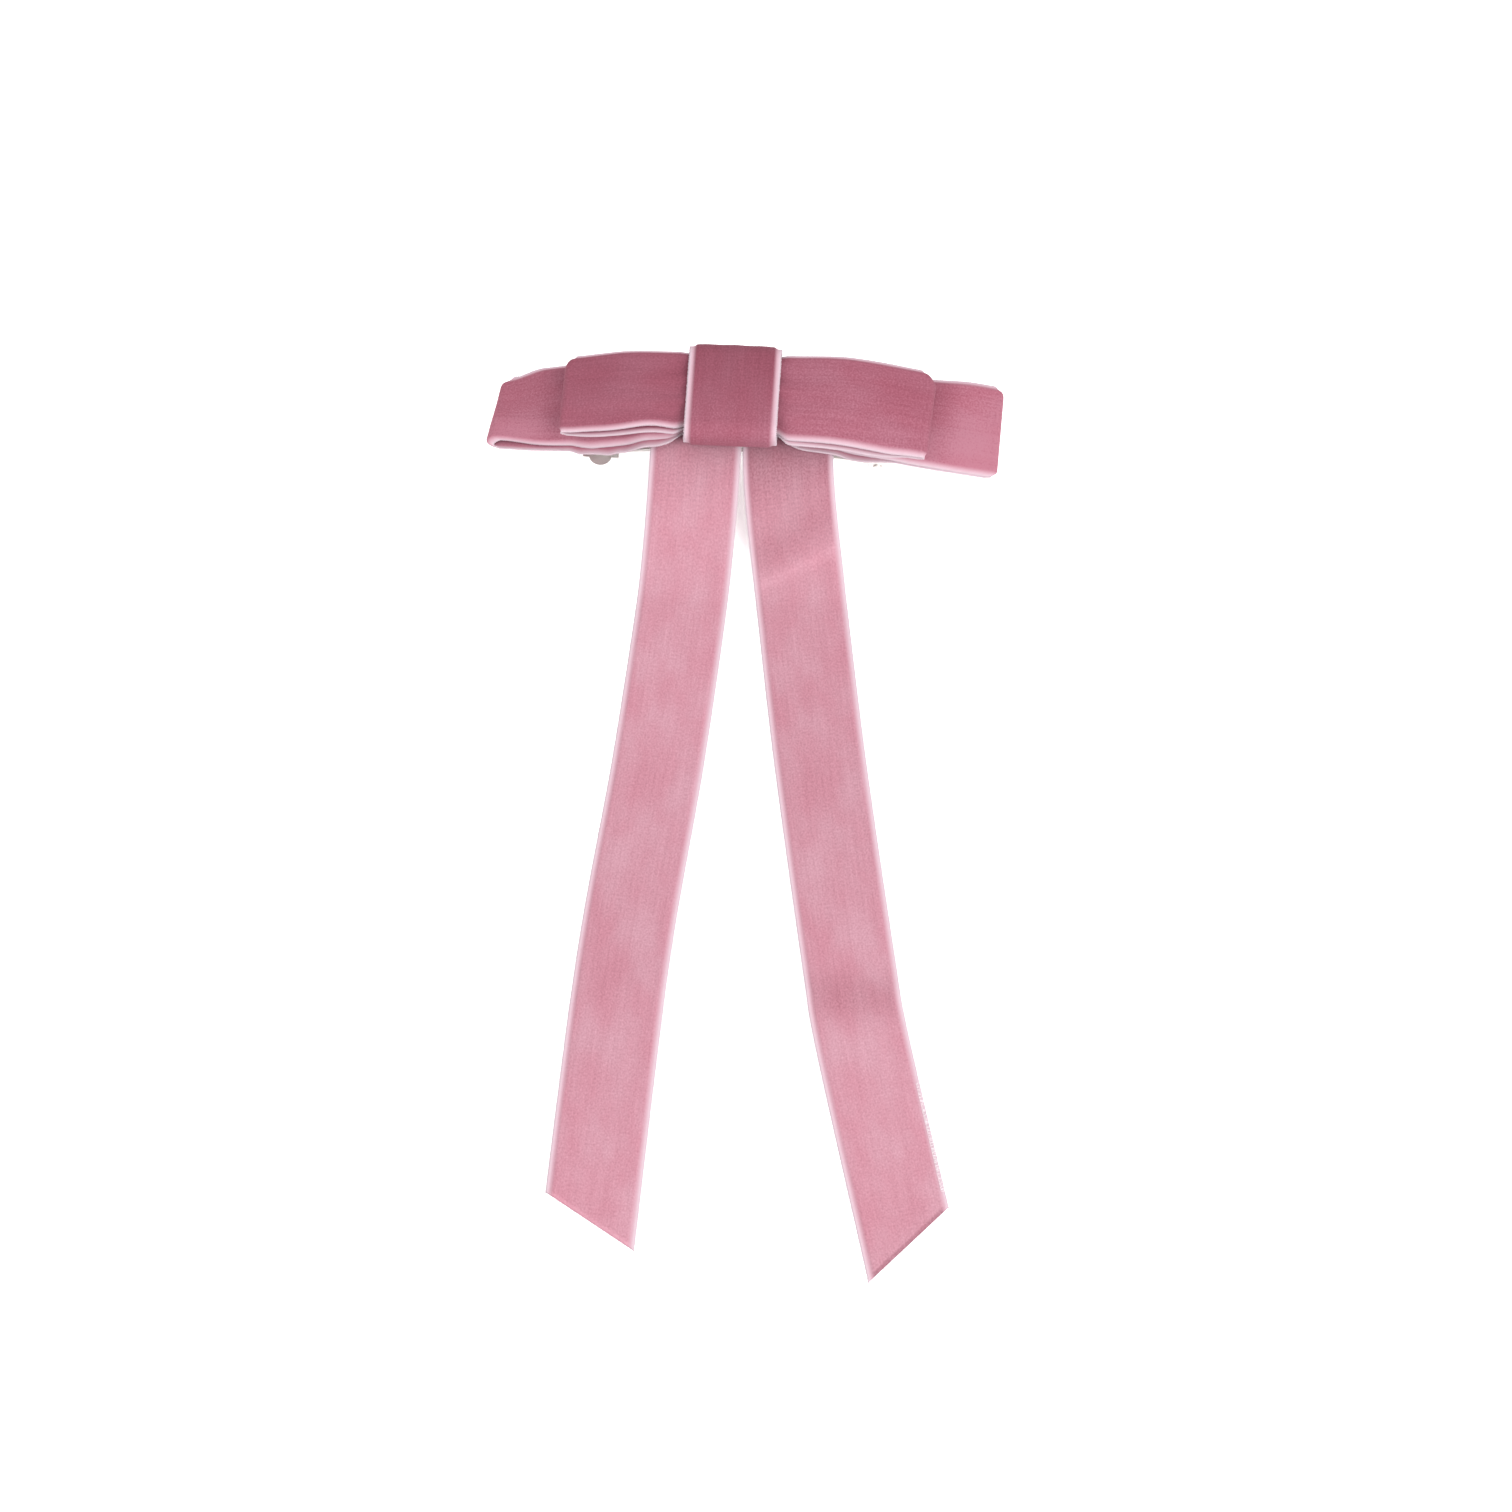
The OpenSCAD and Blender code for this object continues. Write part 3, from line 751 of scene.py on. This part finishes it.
class BARRETTE_OT_base_loop(bpy.types.Operator):
    """Fold the long loop, whose left end has twisted towards the surface"""

    bl_idname = "barrette.base_loop"
    bl_label = "Base loop"

    def execute(self, context):
        width = 2 * HALF_W
        across = columns(width, 30)
        y, drop = rolled(across, back=44, front=74)
        front = 0.5 + across[None, :] / width
        radius = OPEN / 2 - PLY / 2

        def left_twist(x):
            return smooth((-x - 31 * MM - 17 * MM * (1 - front)) / (27 * MM - 13 * MM * (1 - front)))

        def right_twist(x):
            return ramp(x, 36, 28)

        def sag(x):
            """How far the front of the loop hangs down on each side of the tails."""
            left = 2.7 * MM * ramp(-x, 20.5, 7) * ramp(x, -62, 22)
            right = 1.5 * MM * ramp(x, 25, 5) * ramp(-x, -66, 24)
            return (left + right) * smooth((front - 0.4) / 0.6)

        closing = 1.4 * MM * smooth((front - 0.62) / 0.38)

        def low(x, y):
            rest = base_bottom(x) + PLY / 2 - sag(x) - drop * np.where(front > 0.5, 0.12, 0.6)
            rest = rest + (3.9 * MM * (1 - front) - 0.6 * MM * front) * right_twist(x)
            end = 0.62 * MM + 5.5 * MM * front - 0.1 * drop * smooth((front - 0.4) / 0.4)
            return rest + (end - rest) * left_twist(x)

        def high(x, y):
            rest = base_bottom(x) + open_at(x) - PLY / 2 + drop - 0.9 * sag(x) - closing
            rest = rest + (5.4 * MM * (1 - front) - 1.0 * MM * front) * right_twist(x)
            end = 3.5 * MM + 5.7 * MM * front + drop - 0.97 * closing
            crush = 0.16 * MM * np.sin(x / (3.1 * MM) + y / (2.6 * MM))
            crush = crush * np.sin(x / (7.3 * MM) - y / (4.1 * MM))
            return rest + (end - rest) * left_twist(x) + crush * ramp(np.abs(x), 40, 8)

        # The ends are a little slanted and have rounded corners
        x0 = -(60.1 * MM + 1.5 * MM * (front - 0.5) * 2) + radius
        x1 = 66.8 * MM - 0.6 * MM * (front - 0.5) * 2 - radius
        corner = 2.2 * MM * np.square(smooth((0.14 - front) / 0.14))
        corner = corner + 1.8 * MM * np.square(smooth((front - 0.9) / 0.1))
        mid = flattened_loop(x0 + corner, x1 - 0.6 * corner, low, high, radius, y)
        x = mid[..., 0] - BOW.x
        squeeze = 1 - 0.1 * ramp(-np.abs(x), -16, 5)
        mid[..., 1] = BOW.y + (mid[..., 1] - BOW.y) * squeeze

        # The front edge stands forward beside the tails, and draws back towards the left end
        under = lower_share()
        forward = 0.7 * MM * ramp(np.abs(x), 9, 6) * (1 - 0.8 * ramp(-x, 38, 8))
        left = 2.1 * MM * ramp(-x, 11, 8) * ramp(x, -37, 12)
        right = 1.7 * MM * ramp(x, 11, 8) * (0.08 + 0.92 * ramp(-x, -42, 11))
        right = right * ramp(-x, -66, 20)
        drawn_back = 1.5 * MM * ramp(-x, 34, 7) + 1.3 * MM * ramp(-x, 44, 14)
        left = left + 1.1 * MM * ramp(-np.abs(x + 34 * MM), -7, 4)
        shift = forward + (left + right) * (0.2 + 0.8 * under) - drawn_back * (1 - 0.75 * under)
        mid[..., 1] -= np.square(front) * shift
        # Painted light and shade: the right side and the front are painted lighter, where more light
        # falls, and end_shadow paints the shadow that the upper loop's ends cast
        end_shadow = hump(x, -45, 4) + hump(x, 52, 4)
        shade = np.where(x > 0, 0.95, 0.7) + 0.6 * (front - 0.5) - 0.35 * end_shadow
        mesh = closed_ribbon("base_loop", mid, across, width, shade)
        loop = add_piece("ribbon_base_loop", mesh, "velvet", "rose_velvet", "ribbon_back")
        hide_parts("base_loop")
        keep_edges(mid, True)
        return {"FINISHED"}


class BARRETTE_OT_upper_loop(bpy.types.Operator):
    """Fold the short loop that lies on the long one"""

    bl_idname = "barrette.upper_loop"
    bl_label = "Upper loop"

    def execute(self, context):
        width = 2 * HALF_W
        across = columns(width, 30)
        y, drop = rolled(across, back=44, front=70)
        front = 0.5 + across[None, :] / width
        radius = OPEN / 2 - PLY / 2
        follow = 1.0 * MM * smooth((front - 0.62) / 0.38)

        def puff(x):
            return 1.2 * MM * hump(x, -20, 8) * smooth((front - 0.6) / 0.4)

        def low(x, y):
            curl = drop * np.where(front > 0.5, 0.12, 0.4)
            return upper_bottom(x) + PLY / 2 - curl + 0.85 * puff(x) - 0.8 * follow

        def high(x, y):
            near = np.exp(-np.maximum(np.abs(x) - 11 * MM, 0) / (8 * MM))
            gathers = sizes().gather * np.sin(y / (1.0 * MM) + 0.8 * np.sign(x)) * near
            creases = 0.09 * MM * np.sin(y / (1.1 * MM) + x / (9 * MM))
            creases = creases * np.sin(x / (6.5 * MM) + y / (5 * MM))
            away = ramp(np.abs(x), 20, 10)
            dent = 0.9 * MM * away * smooth((front - 0.5) / 0.5)
            settle = follow * (1.5 - 0.5 * away)
            lift = 2.2 * MM * (1 - front) * ramp(x, 12, 26)
            rest = upper_bottom(x) + open_at(x) - PLY / 2 + gathers + creases + puff(x)
            return rest - dent + lift + drop - settle

        x0 = -42.3 * MM - 0.9 * MM * (front - 0.5) + radius
        x1 = 49.3 * MM - 2.2 * MM * (front - 0.5) - radius
        round_left = 2.0 * MM * np.square(smooth((0.2 - front) / 0.2))
        round_right = 3.0 * MM * np.square(smooth((0.24 - front) / 0.24))
        mid = flattened_loop(x0 + round_left, x1 - round_right, low, high, radius, y)
        x = mid[..., 0] - BOW.x

        # The front edge is tucked in left of the knot, forward on the right, drawn back at the left end
        under = lower_share()
        tucked = 0.11 * hump(x, -20, 8) * smooth((front - 0.5) / 0.5) * (1 - 0.25 * under)
        squeeze = 1 - tucked - 0.04 * ramp(-np.abs(x), -14, 3)
        mid[..., 1] = BOW.y + (mid[..., 1] - BOW.y) * squeeze
        forward = 0.6 * MM * ramp(-np.abs(x), -46, 8) * ramp(np.abs(x), 11, 4)
        forward = forward + 1.0 * MM * ramp(x, 9, 5) - 1.5 * MM * ramp(-x, 22, 18)
        shown = ramp(np.abs(x), 11, 4) * ramp(-np.abs(x), -44, 10)
        mid[..., 1] -= (forward + 0.9 * MM * under * shown) * np.square(front)
        # Painted light and shade: the right side and the front are painted lighter, and a painted shadow
        # lies beside the knot on each side
        shade = np.where(x > 0, 0.35, 0.02) + 0.3 * (front - 0.5) - 0.25 * hump(np.abs(x), 12, 2)
        mesh = closed_ribbon("upper_loop", mid, across, width, shade)
        loop = add_piece("ribbon_upper_loop", mesh, "velvet", "rose_velvet", "ribbon_back")
        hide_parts("upper_loop")
        keep_edges(mid, True)
        return {"FINISHED"}


class BARRETTE_OT_knot(bpy.types.Operator):
    """Wrap the short band of ribbon round the middle of the bow"""

    bl_idname = "barrette.knot"
    bl_label = "Knot"

    def execute(self, context):
        width = KNOT_W
        across = columns(width, 34)
        x = -across[None, :]
        half_y = (KNOT_HIGH.y - KNOT_LOW.y) / 2 - PLY / 2 + 0.35 * MM
        low, high = KNOT_LOW.z - SURFACE + PLY / 2, KNOT_HIGH.z - SURFACE - PLY / 2
        corner = 3.4 * MM
        straight = np.linspace(0, 1, 60)[:-1]
        quarter = np.radians(np.linspace(0, 90, 14))[:-1]

        def on_corner(y, h, angle):
            """The place on a rounded corner at an angle in radians."""
            return y + corner * np.cos(angle), h + corner * np.sin(angle)

        ys, hs = [], []
        corners = [(-half_y + corner, low + corner, -90), (-half_y + corner, high - corner, 180),
                   (half_y - corner, high - corner, 90), (half_y - corner, low + corner, 0)]
        for (cy, ch, start), (ny, nh, after) in zip(corners, corners[1:] + corners[:1]):
            turn_y, turn_h = on_corner(cy, ch, math.radians(start) - quarter)
            y0, h0 = on_corner(cy, ch, math.radians(start - 90))
            y1, h1 = on_corner(ny, nh, math.radians(after))
            ys.extend([*turn_y, *(y0 + (y1 - y0) * straight)])
            hs.extend([*turn_h, *(h0 + (h1 - h0) * straight)])
        ys, hs = np.array(ys)[:, None], np.array(hs)[:, None]
        ys = ys - 0.8 * MM * smooth(-ys / half_y)
        on_top = smooth((hs - (low + high) / 2) / (3 * MM))
        crown = 0.35 * MM * (1 - np.square(x / HALF_W)) * on_top
        pucker = 0.1 * MM * np.sin(x / (1.1 * MM) + ys / (7 * MM)) * on_top
        lean = math.tan(math.radians(1))
        mid = on_bow(x + ys * lean, ys + 0 * x, hs + crown + pucker)
        # Painted shade: the knot is painted darker towards its back and along its underside, lighter
        # towards its front
        back = (ys + half_y) / (2 * half_y)
        shade = 0.32 - 0.85 * back + 0 * x - 0.5 * smooth((0.3 - (hs - low) / (high - low)) / 0.3)
        mesh = closed_ribbon("knot", mid, across, width, shade)
        knot = add_piece("ribbon_knot", mesh, "velvet", "rose_velvet_knot", "ribbon_back")
        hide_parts("knot_wrap")
        keep_edges(mid, True)
        return {"FINISHED"}


def catmull(points, t):
    """Places and headings at t, counted in points, on a smooth curve through the points."""
    points = np.array(points, float) * MM
    last = len(points) - 1
    i = np.minimum(last - 1, np.floor(t).astype(int))
    u = (t - i)[:, None]
    a, b = points[np.maximum(0, i - 1)], points[i]
    c, d = points[i + 1], points[np.minimum(last, i + 2)]
    place = 2 * b + (c - a) * u + (2 * a - 5 * b + 4 * c - d) * u ** 2
    place = (place + (3 * b - a - 3 * c + d) * u ** 3) / 2
    heading = np.gradient(place, axis=0)
    return place, heading / np.linalg.norm(heading, axis=1, keepdims=True)


def tail(name, node, route, side, cut, cut_tone, waves, shade_of):
    """A tail of ribbon along its route, from under the knot to its slanted cut.

    Side is -1 for the left tail and 1 for the right one.
    """
    width = TAIL_W
    across = columns(width, 34)
    fine = np.linspace(0, len(route) - 1, 1500)
    centre, _ = catmull(route, fine)
    run = np.concatenate([[0], np.cumsum(np.linalg.norm(np.diff(centre, axis=0), axis=1))])
    even = np.interp(np.linspace(0, run[-1], TAIL_ROWS), run, fine)
    centre, heading = catmull(route, even)
    length = run[-1]
    s = np.linspace(0, length, TAIL_ROWS)[:, None]
    left_of = np.stack([-heading[:, 1], heading[:, 0]], axis=-1)
    off = across[None, :]
    slant = -side * cut * off / width * smooth((s - length * 0.86) / (length * 0.14))
    x = centre[:, :1] + left_of[:, :1] * off + heading[:, :1] * slant
    y = centre[:, 1:] + left_of[:, 1:] * off + heading[:, 1:] * slant
    top = np.minimum(TAIL_H, base_bottom(x) - PLY - 0.15 * MM)
    rise = smooth((y + LANDING) / (RISE_Y + LANDING))
    lie = ramp(s, 60, 20) * smooth((length - s) / (12 * MM))
    h = top * rise + PLY / 2 + 0.02 * MM + waves(s, off) * lie
    mid = on_bow(x, y, h)
    shade = shade_of(s + 0 * off, off + 0 * s) + cut_tone * smooth((s - length + 1.1 * MM) / (0.6 * MM))
    mesh = shell(name, mid, pile_height(across, width), -PLY / 2, across, s + slant, False, shade)
    piece = add_piece(name, mesh, "velvet_light", "pale_velvet_painted_light", "ribbon_back", "cut_cloth")
    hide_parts(node)
    keep_edges(mid, False)
    return mid


class BARRETTE_OT_tails(bpy.types.Operator):
    """Lay the two tails and cut their ends at a slant"""

    bl_idname = "barrette.tails"
    bl_label = "Tails"

    def execute(self, context):
        wave = sizes().wave

        def left_waves(s, off):
            ripple = wave * (1 + np.sin(s / (19 * MM) + off / (16 * MM))) / 2
            return ripple + 0.5 * wave * hump(s + off * 0.5, 158, 6)

        def right_waves(s, off):
            crease = hump(s - off * 0.15, 156, 4) + 0.7 * hump(s + off * 0.55, 47, 4)
            ripple = wave * (1 + np.sin(s / (23 * MM) - off / (14 * MM) + 1.2)) / 2
            return ripple + 1.1 * wave * crease

        def top_shadow(s):
            return -0.5 * ramp(-s, -38, 20)

        def left_shade(s, off):
            return 0.8 * top_shadow(s) + 0.1 * np.sin(s / (31 * MM)) + 0.05

        def right_shade(s, off):
            # Painted shade across the tail at its far crease and above its bend near the knot, and a
            # painted highlight along that bend
            painted_crease_shading = -0.4 * hump(s - off * 0.15, 158, 5)
            painted_crease_shading = painted_crease_shading - 0.4 * hump(s + off * 0.31, 37, 5)
            painted_crease_shading = painted_crease_shading + 0.28 * hump(s + off * 0.31, 44.3, 1.6)
            return 1.7 * top_shadow(s) + painted_crease_shading + 0.1 * np.sin(s / (27 * MM) + 1)

        left = tail("tail_ribbon_left", "tail_left", LEFT_ROUTE, side=-1, cut=LEFT_CUT, cut_tone=0.5,
                    waves=left_waves, shade_of=left_shade)
        right = tail("tail_ribbon_right", "tail_right", RIGHT_ROUTE, side=1, cut=RIGHT_CUT,
                     cut_tone=-0.8, waves=right_waves, shade_of=right_shade)

        # Fibres stand out of both cuts, and of the right tail's selvedge just above its cut
        worn = right[-60:-8, -3][::-1] + np.array([0, 0, 0.1 * MM])
        cuts = [line if line[0, 0] < line[-1, 0] else line[::-1] for line in (left[-1], right[-1])]
        length = sizes().fibre_length
        for name, lines, spacing, reach, thickness, seed, finish in (
            ("fray_at_cuts", cuts, 0.22 * MM, 0.45 * length, 0.035 * MM, 3, "pale_fibre"),
            ("fray_at_worn_edge", [worn], 0.2 * MM, length, 0.07 * MM, 5, "bleached_fibre"),
        ):
            mesh = fibres_tree(spacing, reach, thickness, seed).grow(name, lines, finish)
            add_piece(name, mesh, "velvet_light", finish)
        return {"FINISHED"}


class BARRETTE_OT_weft(bpy.types.Operator):
    """Grow the small turns of weft along every selvedge"""

    bl_idname = "barrette.weft"
    bl_label = "Selvedge weft"

    def execute(self, context):
        mesh = weft_turns_tree().grow("selvedge_weft", EDGE_LINES, "pale_fibre")
        add_piece("selvedge_weft", mesh, "thread", "pale_fibre")
        return {"FINISHED"}


class BARRETTE_OT_thread(bpy.types.Operator):
    """Wind the thread that gathers the loops under the knot"""

    bl_idname = "barrette.thread"
    bl_label = "Thread binding"

    def execute(self, context):
        low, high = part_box("thread_binding")
        d = sizes().thread_d
        growth = thread_tree(high.y - low.y - d, high.z - low.z - d, 2 * MM)
        mesh = growth.grow("thread_binding", [[(0, 0, 0), (MM, 0, 0)]], "rose_thread")
        half_run = d * 1.04 * (sizes().thread_turns - 1) / 2
        shift = Vector((BOW.x - half_run, BOW.y, (low.z + high.z) / 2))
        for vertex in mesh.vertices:
            vertex.co += shift
        piece = add_piece("thread_turns", mesh, "thread", "rose_thread")
        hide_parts("thread_binding")
        return {"FINISHED"}


class BARRETTE_OT_backing(bpy.types.Operator):
    """Lay the glue and the narrow backing ribbon along the clip"""

    bl_idname = "barrette.backing"
    bl_label = "Backing and glue"

    def execute(self, context):
        for name, node, corner_low, corner_high, slot in (
            ("backing_ribbon", "backing_strip", BACKING_LOW, BACKING_HIGH, "ribbon_back"),
            ("glue_bead", "adhesive", GLUE_LOW, GLUE_HIGH, "glue"),
        ):
            x = np.linspace(corner_low.x, corner_high.x, 130)[:, None]
            half = (corner_high.y - corner_low.y) / 2
            thick = 0.6 * MM if slot == "ribbon_back" else 0.3 * MM
            crest = corner_high.z - thick / 2
            arch = np.sqrt(np.square(CLIP_RADIUS) - np.square(x)) - CLIP_RADIUS
            spread = np.linspace(-1, 1, 22)[None, :]
            reach = half
            if slot == "glue":
                ragged = 0.35 * MM * np.sin(x / (2.1 * MM)) + 0.25 * MM * np.sin(x / (0.9 * MM) + 1)
                reach = half - 0.3 * MM + ragged * np.abs(spread) * 0.6
            y = (corner_low.y + corner_high.y) / 2 + spread * reach
            mid = np.stack(np.broadcast_arrays(x, y, crest + arch + 0 * y), axis=-1)
            above = thick / 2 - 0.02 * MM
            along = np.repeat(x, spread.size, axis=1)
            mesh = shell(name, mid, above, -above, (spread * half)[0], along, False)
            finish = "hardened_glue" if slot == "glue" else "ribbon_back"
            piece = add_piece(name, mesh, slot, finish, finish, finish)
            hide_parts(node)
        return {"FINISHED"}


class BARRETTE_OT_metal(bpy.types.Operator):
    """Give every metal piece of the clip its plated finish"""

    bl_idname = "barrette.metal"
    bl_label = "Clip metal"

    def execute(self, context):
        flat = plated("plated_strip", grain=(60, 2600, 2600))
        turned = plated("plated_pin", grain=(2200, 90, 2200))
        for node in ("base_plate", "closing_arm", "tension_bar", "latch_bridge", "latch_tab_front",
                     "latch_tab_rear", "hinge_pin", "latch_rivet"):
            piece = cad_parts[node]
            finish = turned if node in ("hinge_pin", "latch_rivet") else flat
            if not piece.material_slots:
                piece.data.materials.append(finish)
            for slot in piece.material_slots:
                slot.material = finish
        return {"FINISHED"}


class BARRETTE_OT_finishes(bpy.types.Operator):
    """Mix the cloth, thread and glue finishes"""

    bl_idname = "barrette.finishes"
    bl_label = "Finishes"

    def execute(self, context):
        shades = colours()
        velvet("rose_velvet", shades.velvet, 2 * HALF_W)
        velvet("rose_velvet_knot", shades.velvet, KNOT_W)
        # The tails' velvet is the same cloth, painted lighter to stand for light on pile that leans
        # another way
        velvet("pale_velvet_painted_light", shades.velvet_light, TAIL_W)
        woven("ribbon_back", shades.woven_back)
        spun("cut_cloth", shades.cut)
        spun("pale_fibre", shades.rim)
        spun("bleached_fibre", shades.bleached)
        spun("rose_thread", shades.thread)
        hardened_glue()
        return {"FINISHED"}


class BARRETTE_PT_build(bpy.types.Panel):
    """Lists the barrette's sizes, colours and building steps"""

    bl_label = "Barrette"
    bl_idname = "BARRETTE_PT_build"
    bl_space_type = "VIEW_3D"
    bl_region_type = "UI"
    bl_category = "Barrette"

    def draw(self, context):
        for group in (context.scene.barrette_sizes, context.scene.barrette_colours):
            box = self.layout.box()
            for name in group.__annotations__:
                box.prop(group, name)
        for step in STEPS:
            self.layout.operator(step.bl_idname)


STEPS = (
    BARRETTE_OT_stage, BARRETTE_OT_finishes, BARRETTE_OT_base_loop, BARRETTE_OT_upper_loop,
    BARRETTE_OT_knot, BARRETTE_OT_tails, BARRETTE_OT_backing, BARRETTE_OT_thread,
    BARRETTE_OT_weft, BARRETTE_OT_metal,
)
CLASSES = (BarretteSizes, BarretteColours, *STEPS, BARRETTE_PT_build)


def register():
    for item in CLASSES:
        bpy.utils.register_class(item)
    bpy.types.Scene.barrette_sizes = PointerProperty(type=BarretteSizes)
    bpy.types.Scene.barrette_colours = PointerProperty(type=BarretteColours)


def unregister():
    del bpy.types.Scene.barrette_colours
    del bpy.types.Scene.barrette_sizes
    for item in reversed(CLASSES):
        bpy.utils.unregister_class(item)


def main():
    register()
    for step in STEPS:
        group, name = step.bl_idname.split(".")
        getattr(getattr(bpy.ops, group), name)()


if __name__ == "__main__":
    main()
